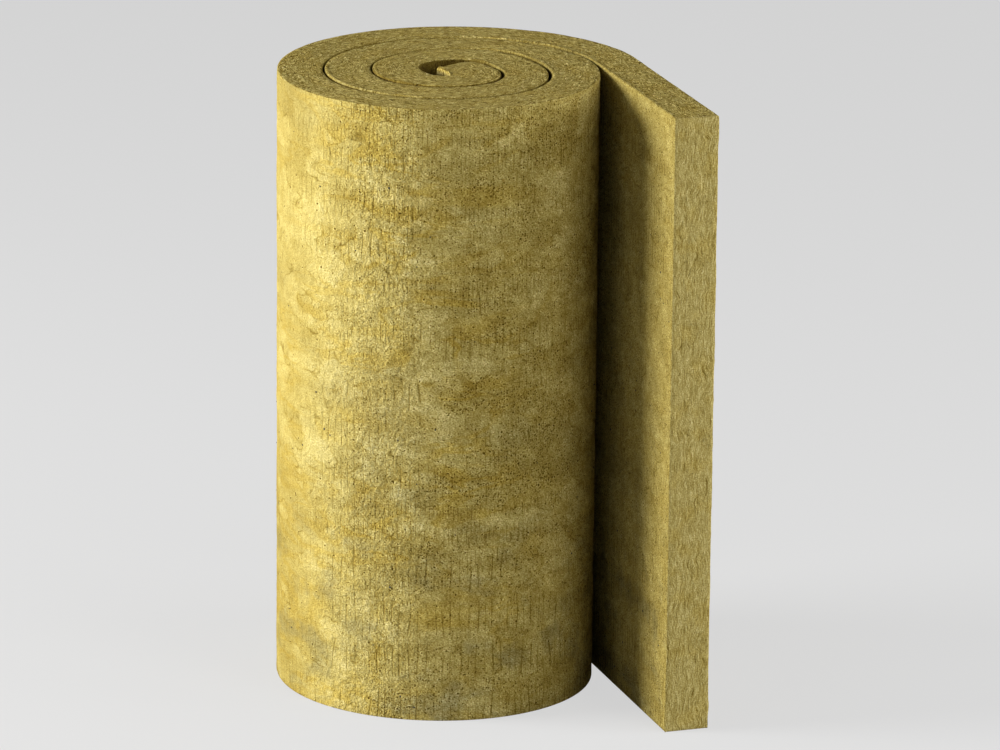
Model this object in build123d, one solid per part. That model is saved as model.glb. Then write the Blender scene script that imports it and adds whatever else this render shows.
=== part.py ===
from build123d import *
from math import sqrt
import os

# Driving sizes in mm
mat_width = 1000
mat_thickness = 72
turn_gap = 3.2
eye_radius = 39
quarter_turns = 11
tail_length = 385
core_end_thickness = 54
core_wrap_angle = 58
core_shoulder_radius = 30

# Each quarter turn is this much wider than the one inside it
quarter_step = (mat_thickness + turn_gap) / 4


# The winding axis is Z and the mat winds outwards clockwise.
# Quarter turn 0 is the innermost one that bounds the eye.
# The tongue at the core is quarter turns -1 and -2.
def start_angle(turn):
    return 180 - 90 * turn


def winding_centre(turn):
    corner = Vector(quarter_step / sqrt(2), 0)
    return corner.rotate(Axis.Z, start_angle(turn) - 45)


def inner_radius(turn):
    return eye_radius + turn * quarter_step


def outer_radius(turn):
    return inner_radius(turn) + mat_thickness


# The section is the edge of the mat as the roll shows it on its ends.
# Both faces of a quarter turn share one centre, so the mat keeps its thickness.
with BuildPart() as wool_mat:
    with BuildSketch() as section:
        with BuildLine() as outline:
            for turn in range(quarter_turns):
                inner_face = CenterArc(winding_centre(turn), inner_radius(turn), start_angle(turn), 90)
                if turn == 0:
                    core_edge = inner_face @ 1
            for turn in range(-1, quarter_turns):
                outer_face = CenterArc(winding_centre(turn), outer_radius(turn), start_angle(turn), 90)

            # The tail leaves the last quarter turn straight and ends in a square cut
            tail_run = (outer_face % 0) * -tail_length
            inner_tail = Line(inner_face @ 0, inner_face @ 0 + tail_run)
            outer_tail = Line(outer_face @ 0, outer_face @ 0 + tail_run)
            Line(inner_tail @ 1, outer_tail @ 1)

            # The tongue wraps round its own inner edge and is squeezed thinner at the cut end
            tongue = CenterArc(winding_centre(-2), outer_radius(-2), start_angle(-2), core_wrap_angle)
            core_end = Line(core_edge, core_edge + Vector(0, core_end_thickness))
            Line(core_end @ 1, tongue @ 1)
        make_face()
        fillet(section.vertices().sort_by_distance(tongue @ 1)[0], core_shoulder_radius)
    extrude(amount=mat_width)

os.makedirs("parts", exist_ok=True)
export_step(wool_mat.part, "parts/wool_mat.step")
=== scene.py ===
from math import cos, pi, radians, sin, sqrt

import bmesh
import bpy
import numpy as np
from mathutils import Matrix, Vector
from mathutils.bvhtree import BVHTree


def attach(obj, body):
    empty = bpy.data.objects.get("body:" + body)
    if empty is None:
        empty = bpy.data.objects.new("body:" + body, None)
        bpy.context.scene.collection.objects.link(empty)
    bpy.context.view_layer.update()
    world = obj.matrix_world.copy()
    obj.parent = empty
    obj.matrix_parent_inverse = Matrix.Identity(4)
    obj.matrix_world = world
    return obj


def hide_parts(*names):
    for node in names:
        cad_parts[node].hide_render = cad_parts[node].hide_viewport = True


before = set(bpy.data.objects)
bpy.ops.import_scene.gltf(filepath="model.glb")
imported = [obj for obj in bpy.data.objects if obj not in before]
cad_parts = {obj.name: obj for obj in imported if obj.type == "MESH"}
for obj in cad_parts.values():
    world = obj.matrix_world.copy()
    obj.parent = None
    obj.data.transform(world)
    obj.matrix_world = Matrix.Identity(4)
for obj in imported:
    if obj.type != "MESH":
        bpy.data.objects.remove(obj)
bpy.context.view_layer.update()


# Rolled mat
# One thick sheet of mineral wool, spun and pressed flat, cut to width and rolled up on its edge.
# Its outer end is left straight as a tail, and its inner end is turned in tight beside the eye.
# It is drawn as the strip that shows on the roll's ends and then raised to the mat's width.
mat_width = 1.0
mat_thickness = 0.072
turn_gap = 0.0032
eye_radius = 0.039
quarter_turns = 11
tail_length = 0.385
core_end_thickness = 0.054
core_wrap_angle = radians(58)
shoulder_reach = 0.0167
quarter_step = (mat_thickness + turn_gap) / 4
column_length = 0.006
depth_cells = 12


def direction(angle):
    return np.stack([np.cos(angle), np.sin(angle)], -1)


def arc_points(turn, radius, sweep, count):
    """Points along part of a quarter turn, starting at its first angle."""
    start = radians(180 - 90 * turn)
    centre = quarter_step / sqrt(2) * direction(start - pi / 4)
    return centre + radius * direction(start + np.linspace(0, sweep, count))


# The two faces of the mat, point by point from the tail's end to the core
last_turn = quarter_turns - 1
last_inner = eye_radius + last_turn * quarter_step
tail_columns = round(tail_length / column_length)
tail_run = np.linspace(-tail_length, 0, tail_columns, endpoint=False)[:, None] * np.array([[0, 1]])
inner_points = [arc_points(last_turn, last_inner, 0, 1) + tail_run]
outer_points = [arc_points(last_turn, last_inner + mat_thickness, 0, 1) + tail_run]
shown_columns = tail_columns
quarters_shown = 4
for turn in reversed(range(quarter_turns)):
    inner_radius = eye_radius + turn * quarter_step
    outer_radius = inner_radius + mat_thickness
    columns = round((inner_radius + outer_radius) / 2 * pi / 2 / column_length)
    inner_points.append(arc_points(turn, inner_radius, pi / 2, columns + 1)[:-1])
    outer_points.append(arc_points(turn, outer_radius, pi / 2, columns + 1)[:-1])
    if turn > last_turn - quarters_shown:
        shown_columns += columns

# The tongue at the core wraps round its own inner edge and tapers to a square-cut end
core_edge = arc_points(0, eye_radius, pi / 2, 2)[-1]
core_corner = core_edge + np.array([0, core_end_thickness])
wrap_radius = eye_radius + mat_thickness - 2 * quarter_step
wrap_sweep = core_wrap_angle - shoulder_reach / wrap_radius
shoulder = arc_points(-2, wrap_radius, core_wrap_angle, 2)[-1]
taper = (core_corner - shoulder) / np.linalg.norm(core_corner - shoulder)
bend = np.linspace(0, 1, 12)[:, None]
bend_start = arc_points(-2, wrap_radius, wrap_sweep, 2)[-1]
bend_end = shoulder + taper * shoulder_reach
tongue = np.concatenate([
    arc_points(-1, wrap_radius + quarter_step, pi / 2, 60)[:-1],
    arc_points(-2, wrap_radius, wrap_sweep, 40)[:-1],
    (1 - bend) ** 2 * bend_start + 2 * bend * (1 - bend) * shoulder + bend ** 2 * bend_end,
    core_corner[None],
])
tongue_run = np.append(0, np.cumsum(np.linalg.norm(np.diff(tongue, axis=0), axis=1)))
tongue_steps = np.linspace(0, tongue_run[-1], round(tongue_run[-1] / column_length) + 1)
tongue_points = [np.interp(tongue_steps, tongue_run, tongue[:, i]) for i in (0, 1)]
outer_points.append(np.stack(tongue_points, -1))
inner_points.append(np.repeat(core_edge[None], len(tongue_steps), 0))
inner_points = np.concatenate(inner_points)
outer_points = np.concatenate(outer_points)


def settled(points, faces_out):
    """The soft winding, pushed in at the right and in the eye, and out between them.

    A push has its direction and spread in degrees, its depth, and the reach over which it fades.
    """
    heart_radius = 0.03
    heart_fade = 0.012
    reach = np.maximum(np.hypot(points[:, 0], points[:, 1]), 1e-6)
    angle = np.arctan2(points[:, 1], points[:, 0])
    clear_of_heart = np.clip((reach - heart_radius) / heart_fade, 0, 1)
    push = np.zeros(len(points))
    for toward, spread, depth, near, far in (
        (0, 29, -0.0102, 0.15, 0.225),
        (40, 18, 0.003, 0.15, 0.225),
        (185, 32, -0.0075, 0.055, 0.1),
        (-30, 22, -0.0025 * faces_out, 0.17, 0.2),
    ):
        turned = (angle - radians(toward) + pi) % (2 * pi) - pi
        fading = np.clip((far - reach) / (far - near), 0, 1) * clear_of_heart
        push += depth * np.exp(-(turned / radians(spread)) ** 2) * fading
    return points * (1 + push / reach)[:, None]


# The flat mat's length, and how much of its outer and inner face is in the open
seam_columns = 8
inner_points = settled(inner_points, 0)
outer_points = settled(outer_points, 1)
middle = (inner_points + outer_points) / 2
along = np.append(0, np.cumsum(np.linalg.norm(np.diff(middle, axis=0), axis=1)))
mat_length = along[-1]
shown_length = along[shown_columns + seam_columns]
throat_length = along[tail_columns + seam_columns]


def numbers(items, name, width, kind=np.float32):
    """One property of many mesh items, as rows of numbers."""
    found = np.empty(len(items) * width, kind)
    items.foreach_get(name, found)
    return found.reshape(-1, width)


# A flat grid takes the winding's shape, and each point keeps its place in the flat mat.
# The core's end leans and is a little hollow.
core_end_columns = 22
core_hollow = 0.0035
core_lean = 0.006
bpy.ops.object.select_all(action="DESELECT")
bpy.ops.mesh.primitive_grid_add(x_subdivisions=len(along) - 1, y_subdivisions=depth_cells, size=2)
mat = bpy.context.object
mat.name = "rolled_mat"
places = numbers(mat.data.vertices, "co", 3)
column = np.rint((places[:, 0] + 1) / 2 * (len(along) - 1)).astype(int)
depth = (places[:, 1:2] + 1) / 2
places[:, :2] = inner_points[column] + (outer_points - inner_points)[column] * depth
near_core_end = np.clip(1 - (len(along) - 1 - column) / core_end_columns, 0, 1)
end_shift = 4 * core_hollow * (1 - depth[:, 0]) - core_lean
places[:, 0] += near_core_end * depth[:, 0] * end_shift
mat.data.vertices.foreach_set("co", places.ravel())
flat = np.stack([along[column], depth[:, 0] * mat_thickness, np.zeros(len(column))], -1)
mat.data.attributes.new("flat", "FLOAT_VECTOR", "POINT")
mat.data.attributes["flat"].data.foreach_set("vector", flat.astype(np.float32).ravel())

# The strip is raised to the mat's width, with a band at each rim for finer cells
rim_band = 0.05
bpy.ops.object.mode_set(mode="EDIT")
bpy.ops.mesh.select_all(action="SELECT")
bpy.ops.mesh.remove_doubles(threshold=1e-5)
bpy.ops.mesh.extrude_region_move(TRANSFORM_OT_translate={"value": (0, 0, mat_width)})
bpy.ops.mesh.select_all(action="SELECT")
bpy.ops.mesh.normals_make_consistent(inside=False)
for level in (rim_band, mat_width - rim_band):
    bpy.ops.mesh.select_all(action="SELECT")
    bpy.ops.mesh.bisect(plane_co=(0, 0, level), plane_no=(0, 0, 1))
bpy.ops.object.mode_set(mode="OBJECT")

face_slack = 1e-4
level_slack = 1e-6


def on_open_face(place):
    """Whether points of the flat mat lie on the stretches of its two faces that show."""
    outside = (place[:, 1] > mat_thickness - face_slack) & (place[:, 0] < shown_length)
    inside = (place[:, 1] < face_slack) & (place[:, 0] < throat_length)
    return outside | inside


def pick_uprights(low, high, shown):
    """Selects the upright edges between two levels, on the walls that show or in the roll."""
    mesh = mat.data
    ends = numbers(mesh.edges, "vertices", 2, np.int32)
    level = numbers(mesh.vertices, "co", 3)[:, 2][ends]
    place = numbers(mesh.attributes["flat"].data, "vector", 3)[ends[:, 0]]
    upright = np.ptp(level, axis=1) > level_slack
    upright &= (level.min(1) > low - level_slack) & (level.max(1) < high + level_slack)
    on_show = on_open_face(place) | (place[:, 0] < face_slack)
    picked = upright & (on_show if shown else ~on_show)
    mesh.vertices.foreach_set("select", np.zeros(len(mesh.vertices), bool))
    mesh.polygons.foreach_set("select", np.zeros(len(mesh.polygons), bool))
    mesh.edges.foreach_set("select", picked)
    points_picked = np.zeros(len(mesh.vertices), bool)
    points_picked[ends[picked].ravel()] = True
    mesh.vertices.foreach_set("select", points_picked)


# Rows of cells up the walls: close together where they show, wide inside the roll
for low, high, shown, cuts in (
    (0, rim_band, True, 6),
    (mat_width - rim_band, mat_width, True, 6),
    (rim_band, mat_width - rim_band, True, 10),
    (rim_band, mat_width - rim_band, True, 8),
    (0, rim_band, False, 2),
    (mat_width - rim_band, mat_width, False, 3),
    (rim_band, mat_width - rim_band, False, 3),
):
    pick_uprights(low, high, shown)
    bpy.ops.object.mode_set(mode="EDIT")
    bpy.ops.mesh.select_mode(type="EDGE")
    bpy.ops.mesh.subdivide(number_cuts=cuts)
    bpy.ops.object.mode_set(mode="OBJECT")

# The cut arrises are a little soft
arris = 0.0016
sharp_angle = radians(60)
bpy.ops.object.mode_set(mode="EDIT")
bpy.ops.mesh.select_all(action="DESELECT")
edit = bmesh.from_edit_mesh(mat.data)
for edge in edit.edges:
    sharp = edge.is_manifold and edge.is_convex and edge.calc_face_angle(0) > sharp_angle
    edge.select_set(sharp)
bmesh.update_edit_mesh(mat.data)
bpy.ops.mesh.bevel(offset=arris, segments=2, affect="EDGES", clamp_overlap=False)
bpy.ops.object.mode_set(mode="OBJECT")
places = numbers(mat.data.vertices, "co", 3)
flat = numbers(mat.data.attributes["flat"].data, "vector", 3)
flat[:, 2] = places[:, 2]

# Along the seams on top, the saw dragged up the edges that face one way and let others slump.
# The core's end has a lip of its own.
dragged_way = np.array([-0.968, 0.251])
slumped_way = np.array([0.318, 0.948])
drag_spread = 1.4
slump_spread = 1.2
drag_height = 0.0016
drag_lost_to_slump = 0.8
slump_depth = 0.0028
slump_reach = 0.002
edge_band = 0.003
core_lip_height = 0.0013
outward = np.where(flat[:, 1] > mat_thickness / 2, 1, -1)[:, None] * places[:, :2]
outward = outward / np.maximum(np.linalg.norm(outward, axis=1), 1e-6)[:, None]
drag = np.clip(drag_spread * outward @ dragged_way, 0, 1)
slump = np.clip(slump_spread * outward @ slumped_way, 0, 1)
outermost = (flat[:, 1] > mat_thickness / 2) & (flat[:, 0] < shown_length)
drag[outermost] = 0
slump[outermost | (flat[:, 0] < tail_length)] = 0
near_edge = np.minimum(flat[:, 1], mat_thickness - flat[:, 1]) < edge_band
on_top = flat[:, 2] > mat_width - face_slack
slumped = near_edge & (flat[:, 2] > mat_width - slump_reach)
proud = near_edge & on_top
places[slumped, 2] -= slump_depth * slump[slumped]
places[proud, 2] += drag_height * (drag * (1 - drag_lost_to_slump * slump))[proud]
core_lip = (flat[:, 0] > mat_length - edge_band) & on_top
places[core_lip, 2] += core_lip_height
mat.data.vertices.foreach_set("co", places.ravel())
mat.data.attributes["flat"].data.foreach_set("vector", flat.ravel())

# How much of the wool's relief each point takes: all on the open faces, and none on the foot
rim_slack = 1e-3
cut_relief = 0.35
hidden_relief = 0.3
on_foot = flat[:, 2] < rim_slack
on_cuts = on_foot | (flat[:, 2] > mat_width - rim_slack) | (flat[:, 0] < face_slack)
share = np.where(on_cuts, cut_relief, np.where(on_open_face(flat), 1, hidden_relief))
share[on_foot] = 0
mat.data.attributes.new("relief", "FLOAT", "POINT")
mat.data.attributes["relief"].data.foreach_set("value", share.astype(np.float32))


class Socket:
    """A node's output that can be used in sums and can add more nodes to its tree."""

    def __init__(self, tree, output):
        self.tree = tree
        self.output = output

    def node(self, kind, settings, inputs, output=0):
        made = self.tree.nodes.new(kind)
        for name, setting in settings.items():
            setattr(made, name, setting)
        for name, value in inputs.items():
            if isinstance(value, Socket):
                self.tree.links.new(value.output, made.inputs[name])
            else:
                made.inputs[name].default_value = value
        return Socket(self.tree, made.outputs[output])

    def math(self, operation, first, second=0):
        return self.node("ShaderNodeMath", {"operation": operation}, {0: first, 1: second})

    def __add__(self, other):
        return self.math("ADD", self, other)

    def __radd__(self, other):
        return self.math("ADD", other, self)

    def __sub__(self, other):
        return self.math("SUBTRACT", self, other)

    def __rsub__(self, other):
        return self.math("SUBTRACT", other, self)

    def __mul__(self, other):
        return self.math("MULTIPLY", self, other)

    def __rmul__(self, other):
        return self.math("MULTIPLY", other, self)

    def __pow__(self, other):
        return self.math("POWER", self, other)

    def __gt__(self, other):
        return self.math("GREATER_THAN", self, other)

    def __abs__(self):
        return self.math("ABSOLUTE", self)

    def whole(self):
        return self.math("FLOOR", self)

    def step(self, low, high):
        """0 below low and 1 above high, with a soft rise between them."""
        rise = {"Value": self, "From Min": low, "From Max": high}
        return self.node("ShaderNodeMapRange", {"interpolation_type": "SMOOTHSTEP"}, rise)

    def stretched(self, *factors):
        return self.node("ShaderNodeVectorMath", {"operation": "MULTIPLY"}, {0: self, 1: factors})

    def moved(self, offset):
        return self.node("ShaderNodeVectorMath", {"operation": "ADD"}, {0: self, 1: offset})

    def scaled(self, share):
        return self.node("ShaderNodeVectorMath", {"operation": "SCALE"}, {0: self, "Scale": share})

    def parts(self):
        split = self.node("ShaderNodeSeparateXYZ", {}, {0: self}).output.node
        return [Socket(self.tree, output) for output in split.outputs]

    def joined(self, x, y, z):
        return self.node("ShaderNodeCombineXYZ", {}, {0: x, 1: y, 2: z})

    def noise(self, scale, detail=2, roughness=0.5, distortion=0):
        values = {"Vector": self, "Scale": scale, "Detail": detail}
        values |= {"Roughness": roughness, "Distortion": distortion}
        return self.node("ShaderNodeTexNoise", {}, values)

    def chance(self):
        """A random number for each whole place."""
        return self.node("ShaderNodeTexWhiteNoise", {"noise_dimensions": "3D"}, {"Vector": self})

    def mixed(self, first, second):
        """A colour between two others, by this share."""
        colours = {6: first, 7: second}
        colours = {i: (*c, 1) if isinstance(c, tuple) else c for i, c in colours.items()}
        return self.node("ShaderNodeMix", {"data_type": "RGBA"}, {0: self} | colours, 2)


def felted_patches(place):
    """A noise whose high places are the smooth rounded patches where tufts were felted flat."""
    return place.stretched(0.8, 1, 1.1).noise(19, 2, 0.45, 0.2)


# The broad relief of the pressed faces, and less of it on the cut edges
swell_height = 0.0026
lump_height = 0.0022
patch_height = 0.0006
relief = bpy.data.node_groups.new("wool relief", "GeometryNodeTree")
relief.interface.new_socket("Geometry", in_out="INPUT", socket_type="NodeSocketGeometry")
relief.interface.new_socket("Geometry", in_out="OUTPUT", socket_type="NodeSocketGeometry")
entry = Socket(relief, relief.nodes.new("NodeGroupInput").outputs[0])
attribute_node = "GeometryNodeInputNamedAttribute"
place = entry.node(attribute_node, {"data_type": "FLOAT_VECTOR"}, {"Name": "flat"})
amount = entry.node(attribute_node, {"data_type": "FLOAT"}, {"Name": "relief"})
normal = entry.node("GeometryNodeInputNormal", {}, {})
swell = (place.stretched(0.6, 1, 1).noise(9) - 0.5) * swell_height
lumps = (place.noise(45) - 0.5) * lump_height
raised = felted_patches(place).step(0.54, 0.64) * patch_height
offset = normal.scaled((swell + lumps + raised) * amount)
shaped = entry.node("GeometryNodeSetPosition", {}, {"Geometry": entry, "Offset": offset})
leave = relief.nodes.new("NodeGroupOutput")
relief.links.new(shaped.output, leave.inputs[0])
modifier = mat.modifiers.new("relief", "NODES")
modifier.node_group = relief
bpy.context.view_layer.objects.active = mat
bpy.ops.object.modifier_apply(modifier="relief")
bpy.ops.object.shade_smooth()


def wool(name):
    """A dull fibrous material and the place in the flat mat that its patterns follow."""
    made = bpy.data.materials.new(name)
    made.use_nodes = True
    shader = made.node_tree.nodes["Principled BSDF"]
    shader.inputs["Roughness"].default_value = 0.95
    shader.inputs["Specular IOR Level"].default_value = 0.15
    attribute = made.node_tree.nodes.new("ShaderNodeAttribute")
    attribute.attribute_name = "flat"
    return made, shader, Socket(made.node_tree, attribute.outputs["Vector"])


def dress(shader, colour, shade, height):
    """Puts a colour and a relief in metres on a material. A darker shade is a deeper yellow."""
    deepest = 0.12
    green_fall = 1.16
    blue_fall = 1.9
    bump = colour.node("ShaderNodeBump", {}, {"Strength": 1, "Distance": 1, "Height": height})
    shade = shade.math("MAXIMUM", shade, deepest)
    depths = colour.joined(shade, shade ** green_fall, shade ** blue_fall)
    colour = colour.node("ShaderNodeVectorMath", {"operation": "MULTIPLY"}, {0: colour, 1: depths})
    colour.tree.links.new(colour.output, shader.inputs["Base Color"])
    colour.tree.links.new(bump.output, shader.inputs["Normal"])


def groove_lines(place, pitch, run, width, share):
    """Short upright lines that the folding machine leaves, gathered in rows."""
    across, _, level = place.parts()
    wander = place.stretched(1, 1, 0.25).noise(45, 1)
    spot = across * (1 / pitch) + wander * 1.2
    column = spot.whole()
    beside = abs(spot - column - 0.5) * pitch
    stagger = place.joined(column, 3, 0).chance()
    rise = level * (1 / run) + stagger * 0.25
    row = rise.whole()
    within = rise - row
    gathered = place.stretched(0.35, 1, 1.3).noise(9, 2) + (1 - level.step(0.06, 0.3)) * 0.12
    gathered = gathered.step(0.45, 0.62) * share
    luck = place.joined(column, row, 7).chance()
    drawn = gathered.step(0, 1) > luck
    taper = within.step(0, 0.15) * (1 - within.step(0.5, 1))
    strength = 0.4 + place.joined(column, row, 11).chance() * 0.6
    return (1 - beside.step(width * 0.3, width)) * drawn * taper * strength


def pits(spot, scale, share, rim):
    """Painted shade for small holes, one in some of the cells of a scattered pattern, with a paler
    ring round each.
    """
    cell_inputs = {"Vector": spot, "Scale": scale}
    cells = spot.node("ShaderNodeTexVoronoi", {"voronoi_dimensions": "2D"}, cell_inputs)
    luck = Socket(spot.tree, cells.output.node.outputs["Color"])
    hole = 1 - cells.step(rim * 0.35, rim)
    lip = cells.step(rim * 0.7, rim * 1.1) * (1 - cells.step(rim * 1.1, rim * 1.7))
    return (hole - lip * 0.3) * (share > luck.parts()[0])


# The pressed face: straw, with ochre streaks where more binder set and paler felted patches
face_wool, shader, place = wool("pressed wool face")
straw = (0.425, 0.331, 0.087)
ochre = (0.405, 0.284, 0.043)
pale = (0.515, 0.42, 0.136)
dull = (0.32, 0.257, 0.078)
stain = (0.26, 0.222, 0.086)
across, depth, level = place.parts()

# Where the face differs: its outer side, a calmer stretch, a band of painted light, painted shade
# inside the roll
face_side = depth.step(0.01, 0.02)
# A calmer stretch with weaker marks and relief, a little darker where the painted light band
# doesn't reach
calm_stretch = across.step(1.0, 1.12) * (1 - across.step(1.26, 1.43))
rough = 1 - calm_stretch * 0.6
# Painted light: a band of the outer face is made lighter
painted_light_band = across.step(1.2, 1.3) * (1 - across.step(1.42, 1.66))
# Painted shade: the faces wound inside the roll are darker, all but their top edge, so the seams
# read dark
seam_shade_painted = across.step(throat_length + 0.05, throat_length + 0.15) * (1 - face_side) * 0.3
seam_shade_painted = seam_shade_painted + across.step(shown_length, shown_length + 0.06) * face_side * 0.6
seam_shade_painted = seam_shade_painted * (1 - level.step(0.9972, 0.9992))
# Painted shade on the inner face where it lines the eye
eye_shade_painted = across.step(mat_length - 0.62, mat_length - 0.4)

# Binder in broad streaks and thin wisps
streaks = place.stretched(0.38, 1, 1.25).noise(11, 4, 0.62, 0.5).step(0.5, 0.66) * 0.8
veins = abs(place.stretched(0.5, 1, 1.2).noise(13, 3, 0.6, 0.5) - 0.5)
wispy = place.stretched(0.7, 1, 1).noise(6, 2).step(0.36, 0.52)
wisps = (1 - veins.step(0.005, 0.06)) * wispy
streaks = streaks.math("MAXIMUM", streaks, wisps * (0.4 + rough * 0.5))
streaks = streaks * (1 - across.step(1.48, 1.66) * 0.8)
streaks = streaks * (0.35 + face_side * 0.65)

# Felted patches and small flakes, with cracks round some of them
felting = felted_patches(place)
patches = felting.step(0.545, 0.61) * (0.4 + face_side * 0.6)
flaking = place.stretched(0.85, 1, 1.15).noise(42, 2, 0.4, 0.3)
flaked = place.noise(12, 2).step(0.47, 0.58)
flakes = flaking.step(0.57, 0.6) * flaked
cracks = felting.step(0.525, 0.54) * (1 - felting.step(0.545, 0.56))
cracks = cracks * place.noise(28, 2).step(0.5, 0.6)
cracks = cracks + flaking.step(0.545, 0.56) * (1 - flaking.step(0.565, 0.58)) * flaked * 0.7

# Weathering, stains near the floor, and open wool between the patches
weathered = place.stretched(0.7, 1, 1).noise(7, 3, 0.6).step(0.46, 0.7)
stained = place.stretched(0.8, 1, 1).noise(15, 3, 0.6).step(0.5, 0.66)
stained = stained * (1 - level.step(0.15, 0.45))
open_wool = place.stretched(0.6, 1, 1.1).noise(10, 3, 0.6, 0.4).step(0.44, 0.66)
open_wool = open_wool * (1 - patches * 0.75)
open_wool = open_wool * (0.3 + face_side * 0.7)
colour = streaks.mixed(straw, ochre)
colour = ((1 - face_side) * 0.3).mixed(colour, pale)
colour = (patches * 0.5).mixed(colour, pale)
colour = (flakes * 0.35).mixed(colour, pale)
colour = (weathered * 0.6).mixed(colour, dull)
colour = (stained * 0.6).mixed(colour, stain)

# Fold lines and ragged pits, both darkened with painted shade, and the grain of the fibres
grooves = groove_lines(place, pitch=0.0115, run=0.075, width=0.0014, share=1.0)
elsewhere = place.moved((0.4, 0, 0.3))
fine_grooves = groove_lines(elsewhere, pitch=0.0063, run=0.04, width=0.0011, share=0.8) * 0.8
grooves = grooves.math("MAXIMUM", grooves, fine_grooves)
raggedness = 0.004
ragged_across = across + (place.noise(260, 1) - 0.5) * raggedness
ragged_level = level + (place.noise(240, 1) - 0.5) * raggedness
ragged = place.joined(ragged_across, ragged_level, 0)
small_share = 0.1 + open_wool * 0.42
large_share = 0.012 + open_wool * 0.07
small_pits = pits(ragged.stretched(1.1, 0.9, 1), scale=250, share=small_share, rim=0.44)
large_pits = pits(ragged.moved((0.3, 0.1, 0)), scale=120, share=large_share, rim=0.26)
grain = place.noise(430, 2, 0.6) - 0.5
slanted = place.joined(across * 0.8 + level * 0.5, depth, level * 0.35 - across * 0.25)
ticks = slanted.noise(330, 2) - 0.5
brushed = place.stretched(1, 1, 0.1).noise(210, 2) - 0.5
mottle = place.noise(60, 3, 0.65) - 0.5
blotches = place.stretched(0.8, 1, 1).noise(26, 2, 0.5, 0.3) - 0.5
broad = place.stretched(0.8, 1, 0.8).noise(5, 2) - 0.5
shade = (1 + mottle * rough * 0.9) * (1 + blotches * rough * 0.6) * (1 + brushed * 0.2)
shade = shade * (1 + grain * rough * 2.4) * (1 + ticks * rough * 0.8)
# Painted light on the band, and painted shade that darkens the inner face a little, for the throat
# by the tail
shade = shade * (1 + broad * 0.4) * (1 + painted_light_band * 0.15) * (0.86 + face_side * 0.14)
shade = shade * (1 - (1 - rough) * (1 - painted_light_band) * 0.16)
# Painted shade in the pits, the fold lines and the cracks round the patches
shade = shade * (1 - small_pits * rough * 0.62) * (1 - large_pits * 0.75)
shade = shade * (1 - grooves * rough * 0.44) * (1 - open_wool * 0.12) * (1 - cracks * 0.3)
shade = shade * (1 - seam_shade_painted) * (1 - eye_shade_painted * 0.45)
height = mottle * 0.005 + place.noise(140, 2) * 0.0045 + grain * 0.003 - grooves * 0.001
height = height * (0.4 + rough * 0.6)
dress(shader, colour, shade, height)
mat.data.materials.append(face_wool)

# The cut edge: strands lying along the mat in small waves, crossed where the saw combed them
cut_wool, shader, place = wool("cut wool edge")
cut_straw = (0.395, 0.302, 0.07)
cut_ochre = (0.385, 0.274, 0.048)
cut_tan = (0.405, 0.322, 0.1)
core_end_shadow = (0.235, 0.181, 0.05)
across, depth, level = place.parts()
at_tail = 1 - across.step(0.003, 0.006)
at_core = across.step(mat_length - 0.006, mat_length - 0.003)
waves = (place.noise(34, 1) - 0.5) * 0.018
swirls = (place.stretched(1, 1, 0.5).noise(38, 2) - 0.5) * 0.01 * at_tail
combed = place.joined(across, depth + waves + swirls, level)
strands = combed.stretched(24, 190, 24).noise(1, 4, 0.75) - 0.5
hairs = combed.moved((0.2, 0.3, 0.1)).stretched(80, 620, 70).noise(1, 1) - 0.5
gaps = combed.moved((0.5, 0, 0.2)).stretched(40, 300, 40).noise(1, 2).step(0.62, 0.72)
splits = combed.moved((0, 0.2, 0.7)).stretched(30, 210, 16).noise(1, 2).step(0.66, 0.72) * at_tail
rising = across + depth
falling = across - depth
left_slant = place.joined(rising * 260, falling * 50, level * 90).noise(1, 2) - 0.5
right_slant = place.joined(falling * 260, rising * 50, level * 90).noise(1, 2) - 0.5
crossing = place.noise(70, 1).step(0.45, 0.55)
hatch = (left_slant * crossing + right_slant * (1 - crossing)) * (1 - at_tail)
grain = place.noise(430, 2, 0.6) - 0.5
mottle = place.noise(40, 3) - 0.5
strand_depth = 1.5 - at_tail * 0.1 - at_core
hair_depth = 3.0 - at_tail * 1.7 - at_core * 2.5
grain_depth = 2.6 - at_tail * 0.8
shade = (1 + mottle * 0.3) * (1 + strands * strand_depth) * (1 + hairs * hair_depth)
shade = shade * (1 + hatch * 3.0)
# Painted shade in the gaps between the strands and in the splits at the tail
shade = shade * (1 + grain * grain_depth) * (1 - gaps * 0.45) * (1 - splits * 0.5)
height = strands * 0.0014 + hairs * 0.0004 + hatch * 0.001 + grain * 0.0004 - gaps * 0.0006
height = height * (1 - at_tail * 0.55 - at_core * 0.75)
bound = place.stretched(0.5, 1, 1).noise(26, 3).step(0.46, 0.64) * 0.6
edge_colour = bound.mixed(cut_straw, cut_ochre)
tail_colour = (bound * 0.6).mixed(cut_tan, cut_ochre)
# Painted shadow: the core's end is browner below its lip, where the eye's near rim shades it
shadowed_below_lip = 1 - level.step(0.991, 0.999)
colour = at_tail.mixed(edge_colour, tail_colour)
colour = (at_core * shadowed_below_lip).mixed(colour, core_end_shadow)
dress(shader, colour, shade, height)
mat.data.materials.append(cut_wool)

# The top, the foot and the mat's two ends are cut, and the rest is pressed face
level_facing = 0.6
corners = numbers(mat.data.loops, "vertex_index", 1, np.int32)[:, 0]
first = numbers(mat.data.polygons, "loop_start", 1, np.int32)[:, 0]
from_middle = np.abs(flat[corners][:, 0] - mat_length / 2)
at_ends = np.minimum.reduceat(from_middle, first) > mat_length / 2 - face_slack
facing = numbers(mat.data.polygons, "normal", 3)
is_cut = (np.abs(facing[:, 2]) > level_facing) | at_ends
mat.data.polygons.foreach_set("material_index", is_cut.astype(np.int32))
mat.data.update()
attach(mat, "root")
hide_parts("wool_mat")


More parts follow.
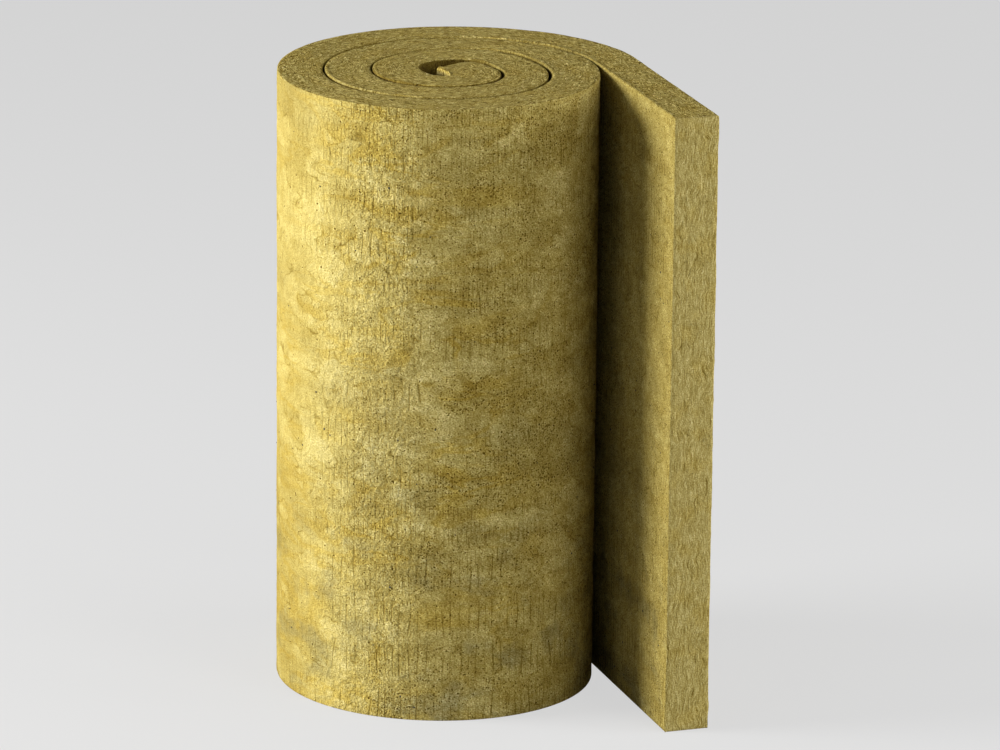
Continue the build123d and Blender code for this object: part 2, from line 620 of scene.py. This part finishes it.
# Loose strands
# Rock fibres that the saw pulled up on the cut edges, lying along the mat in small waves.
# Each is a thin three-sided thread whose ends run back into the wool.
chance = np.random.default_rng(7)
surface = BVHTree.FromObject(mat, bpy.context.evaluated_depsgraph_get())


def on_plan(run, share):
    """Plan places for lengths along the flat mat and shares of its thickness."""
    inside = np.stack([np.interp(run, along, inner_points[:, i]) for i in (0, 1)], -1)
    outside = np.stack([np.interp(run, along, outer_points[:, i]) for i in (0, 1)], -1)
    return inside + (outside - inside) * share[..., None]


bpy.ops.object.select_all(action="DESELECT")
bpy.ops.mesh.primitive_cylinder_add(vertices=3, radius=1, depth=1, location=(0, 0, 0.5))
thread = bpy.context.object
bpy.ops.object.transform_apply(location=True)
bpy.ops.object.mode_set(mode="EDIT")
bpy.ops.mesh.select_all(action="DESELECT")
edit = bmesh.from_edit_mesh(thread.data)
for edge in edit.edges:
    edge.select_set(abs(edge.verts[0].co.z - edge.verts[1].co.z) > 0.5)
bmesh.update_edit_mesh(thread.data)
bpy.ops.mesh.subdivide(number_cuts=2)
bpy.ops.object.mode_set(mode="OBJECT")
thread_points = numbers(thread.data.vertices, "co", 3).astype(float)
thread_faces = [list(face.vertices) for face in thread.data.polygons]
bpy.data.objects.remove(thread)

dark_strand = (0.34, 0.262, 0.07)
pale_strand = (0.54, 0.43, 0.13)
strand_wool = bpy.data.materials.new("loose strand")
strand_wool.use_nodes = True
strand_tree = strand_wool.node_tree
strand_shader = strand_tree.nodes["Principled BSDF"]
strand_shader.inputs["Roughness"].default_value = 0.8
strand_shader.inputs["Specular IOR Level"].default_value = 0.2
tone = Socket(strand_tree, strand_tree.nodes.new("ShaderNodeAttribute").outputs["Fac"])
tone.output.node.attribute_name = "tone"
strand_colour = tone.mixed(dark_strand, pale_strand)
strand_tree.links.new(strand_colour.output, strand_shader.inputs["Base Color"])

strand_widths = (0.00018, 0.00035)
strand_girths = np.array([0.45, 1, 1, 0.45])
steps = np.linspace(0, 1, 4)
dips = np.array([-0.0003, 0.0001, 0.0001, -0.0003])
drop_reach = 0.01


def dropped(points, aim):
    """Each point moved along aim on to the mat, or no number where it misses."""
    aim = Vector(aim)
    moved = np.full(points.shape, np.nan)
    for i, point in enumerate(points.reshape(-1, 3)):
        hit = surface.ray_cast(Vector(point) - aim * drop_reach, aim, 2 * drop_reach)[0]
        if hit:
            moved.reshape(-1, 3)[i] = hit
    return moved


def lay_strands(name, centres, outward):
    """Makes one piece of threads from the middle line of each, and lays them on the mat."""
    count = len(centres)
    centres = centres + dips[:, None] * outward
    across = np.cross(centres[:, -1] - centres[:, 0], np.abs(outward))
    across /= np.linalg.norm(across, axis=1)[:, None]
    widths = chance.uniform(*strand_widths, count)
    ring = np.rint(thread_points[:, 2] * (len(steps) - 1)).astype(int)
    girth = strand_girths[ring] * widths[:, None]
    points = centres[:, ring] + across[:, None] * (thread_points[:, 0] * girth)[..., None]
    points = points + outward * (thread_points[:, 1] * girth)[..., None]
    size = len(thread_points)
    faces = [[i * size + corner for corner in face] for i in range(count) for face in thread_faces]
    mesh = bpy.data.meshes.new(name)
    mesh.from_pydata(points.reshape(-1, 3).tolist(), [], faces)
    mesh.attributes.new("tone", "FLOAT", "POINT")
    tones = np.repeat(chance.beta(1.6, 1.6, count), size).astype(np.float32)
    mesh.attributes["tone"].data.foreach_set("value", tones)
    mesh.materials.append(strand_wool)
    piece = bpy.data.objects.new(name, mesh)
    bpy.context.scene.collection.objects.link(piece)
    bpy.ops.object.select_all(action="DESELECT")
    bpy.context.view_layer.objects.active = piece
    piece.select_set(True)
    bpy.ops.object.mode_set(mode="EDIT")
    bpy.ops.mesh.select_all(action="SELECT")
    bpy.ops.mesh.normals_make_consistent(inside=False)
    bpy.ops.object.mode_set(mode="OBJECT")
    bpy.ops.object.shade_smooth()
    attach(piece, "root")


# On the top cut edge
count = 2600
run = chance.uniform(0.004, mat_length - 0.004, count)
share = chance.uniform(0.04, 0.96, count)
lean = 0.35 * np.sin(run / 0.037 + 9 * share) + chance.normal(0, 0.2, count)
length = chance.uniform(0.008, 0.022, count)
runs = run[:, None] + np.outer(length * np.cos(lean), steps - 0.5)
shares = share[:, None] + np.outer(length * np.sin(lean) / mat_thickness, steps - 0.5)
centres = np.concatenate([on_plan(runs, shares), np.full((*runs.shape, 1), mat_width)], -1)
centres = dropped(centres, (0, 0, -1))
kept = np.isfinite(centres).all((1, 2)) & (shares > 0.02).all(1) & (shares < 0.98).all(1)
kept &= (runs > 0.002).all(1) & (runs < mat_length - 0.002).all(1)
lay_strands("top_strands", centres[kept], np.array([0, 0, 1]))

# On the tail's cut end
count = 900
share = chance.uniform(0.05, 0.95, count)
level = chance.uniform(0.012, mat_width - 0.012, count)
lean = 0.6 * np.sin(level / 0.021 + 7 * share) + chance.normal(0, 0.3, count)
length = chance.uniform(0.005, 0.014, count)
levels = level[:, None] + np.outer(length * np.cos(lean), steps - 0.5)
shares = share[:, None] + np.outer(length * np.sin(lean) / mat_thickness, steps - 0.5)
centres = np.concatenate([on_plan(np.zeros_like(shares), shares), levels[..., None]], -1)
centres = dropped(centres, (0, 1, 0))
kept = np.isfinite(centres).all((1, 2)) & (shares > 0.03).all(1) & (shares < 0.97).all(1)
kept &= (levels > 0.006).all(1) & (levels < mat_width - 0.006).all(1)
lay_strands("tail_end_strands", centres[kept], np.array([0, -1, 0]))


# Shot grains
# Beads of rock that set before they drew out into fibre, with a few crumbs of gold binder.
# They sit a little more than half sunk in the pressed faces.
bpy.ops.object.select_all(action="DESELECT")
bpy.ops.mesh.primitive_ico_sphere_add(subdivisions=1, radius=1)
bead = bpy.context.object
bead_points = numbers(bead.data.vertices, "co", 3).astype(float)
bead_faces = [list(face.vertices) for face in bead.data.polygons]
bpy.data.objects.remove(bead)
bead_stretch = (0.6, 1.2)
sunk_share = 0.3
edge_margin = 0.02


def sow_grains(name, count, smallest, largest, colour):
    """Sinks beads of one kind into the faces that show."""
    material = bpy.data.materials.new(name)
    material.use_nodes = True
    tree = material.node_tree
    shader = tree.nodes["Principled BSDF"]
    shader.inputs["Roughness"].default_value = 0.7
    spot = Socket(tree, tree.nodes.new("ShaderNodeTexCoord").outputs["Object"])
    dark = tuple(0.6 * part for part in colour)
    shaded = spot.noise(400, 2).step(0.3, 0.7).mixed(dark, colour)
    tree.links.new(shaded.output, shader.inputs["Base Color"])
    inner_side = chance.random(count) < tail_length / (tail_length + shown_length)
    run = chance.uniform(0.01, 1, count) * np.where(inner_side, throat_length, shown_length)
    plan = on_plan(run, np.where(inner_side, 0.0, 1.0))
    level = chance.uniform(edge_margin, mat_width - edge_margin, count)
    radius = smallest + (largest - smallest) * chance.random(count) ** 2
    points = []
    faces = []
    for i in range(count):
        place, normal = surface.find_nearest(Vector((*plan[i], level[i])))[:2]
        turn = normal.to_track_quat("Z", "Y").to_matrix()
        shape = bead_points * radius[i] * chance.uniform(*bead_stretch, 3)
        sunk = normal * radius[i] * sunk_share
        points.extend(tuple(turn @ Vector(point) + place - sunk) for point in shape)
        faces.extend([i * len(bead_points) + corner for corner in face] for face in bead_faces)
    mesh = bpy.data.meshes.new(name)
    mesh.from_pydata(points, [], faces)
    mesh.materials.append(material)
    piece = bpy.data.objects.new(name, mesh)
    bpy.context.scene.collection.objects.link(piece)
    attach(piece, "root")


rock = (0.035, 0.028, 0.012)
gold_binder = (0.5, 0.33, 0.05)
sow_grains("shot_grains", count=420, smallest=0.0007, largest=0.0022, colour=rock)
sow_grains("binder_crumbs", count=90, smallest=0.001, largest=0.003, colour=gold_binder)


# Floor
# A plain pale studio floor that the roll stands on.
# To the eye it glows a little, so that it looks pale all over, and it keeps the roll's shadow.
floor_grey = (0.5, 0.5, 0.5, 1)
glow_grey = (0.82, 0.82, 0.82, 1)
glow_share = 0.75
bpy.ops.object.select_all(action="DESELECT")
bpy.ops.mesh.primitive_plane_add(size=80)
floor = bpy.context.object
floor.name = "floor"
pale_floor = bpy.data.materials.new("pale floor")
pale_floor.use_nodes = True
tree = pale_floor.node_tree
board = tree.nodes["Principled BSDF"]
board.inputs["Base Color"].default_value = floor_grey
board.inputs["Roughness"].default_value = 0.9
rays = tree.nodes.new("ShaderNodeLightPath").outputs
sight = Socket(tree, rays["Is Camera Ray"])
gloss = Socket(tree, rays["Is Glossy Ray"])
passing = Socket(tree, rays["Is Transmission Ray"])
sight = sight.math("MINIMUM", sight + gloss + passing, 1)
glow = sight.node("ShaderNodeEmission", {}, {"Color": glow_grey, "Strength": 1})
shaders = {0: sight * glow_share, 1: Socket(tree, board.outputs[0]), 2: glow}
seen = sight.node("ShaderNodeMixShader", {}, shaders)
tree.links.new(seen.output, tree.nodes["Material Output"].inputs["Surface"])
floor.data.materials.append(pale_floor)

# Camera
# A long lens from the front left, looking a little down on the roll.
# It is tilted by half a degree, and aimed to the right of the roll to take in the tail.
azimuth = radians(-18.545)
pitch = radians(16.413)
tilt = radians(0.579)
distance = 11.436
aim_right = 0.0834
aim_down = 0.0019
centre = Vector((0, 0, mat_width / 2))
back = Vector((sin(azimuth) * cos(pitch), -cos(azimuth) * cos(pitch), sin(pitch)))
right = Vector((cos(azimuth), sin(azimuth), 0))
up = back.cross(right)
aim = centre + right * aim_right - up * aim_down
turned_right = right * cos(tilt) + up * sin(tilt)
turned_up = up * cos(tilt) - right * sin(tilt)
camera_data = bpy.data.cameras.new("camera")
camera_data.sensor_width = 36
camera_data.lens = 257.2
camera = bpy.data.objects.new("camera", camera_data)
bpy.context.scene.collection.objects.link(camera)
axes = Matrix((turned_right, turned_up, back)).transposed().to_4x4()
camera.matrix_world = Matrix.Translation(aim + back * distance) @ axes
bpy.context.scene.camera = camera

# Light
# A broad soft lamp from the left, a weaker one from the right and two weak ones in front,
# with a trace of even light all round.
# A lamp has its name, its bearing and height in degrees, its width and its power.
lamp_reach = 5.0
even_light = 0.012
front = Vector((sin(azimuth), -cos(azimuth), 0))
for name, side, rise, size, power in (
    ("key", -84, 17, 2.6, 485),
    ("fill", 84, 11, 3.2, 197),
    ("front right", 45, 32, 2.4, 80),
    ("front left", -40, 30, 2.4, 22),
):
    lamp_data = bpy.data.lights.new(name, "AREA")
    lamp_data.shape = "DISK"
    lamp_data.size = size
    lamp_data.energy = power
    lamp = bpy.data.objects.new(name, lamp_data)
    bpy.context.scene.collection.objects.link(lamp)
    way = Matrix.Rotation(radians(side), 3, "Z") @ front
    way = way * cos(radians(rise)) + Vector((0, 0, sin(radians(rise))))
    lamp.location = centre + way * lamp_reach
    lamp.rotation_mode = "QUATERNION"
    lamp.rotation_quaternion = (-way).to_track_quat("-Z", "Y")
world = bpy.data.worlds.new("studio")
world.use_nodes = True
world.node_tree.nodes["Background"].inputs["Color"].default_value = (1, 1, 1, 1)
world.node_tree.nodes["Background"].inputs["Strength"].default_value = even_light
bpy.context.scene.world = world
bpy.context.scene.view_settings.view_transform = "Standard"
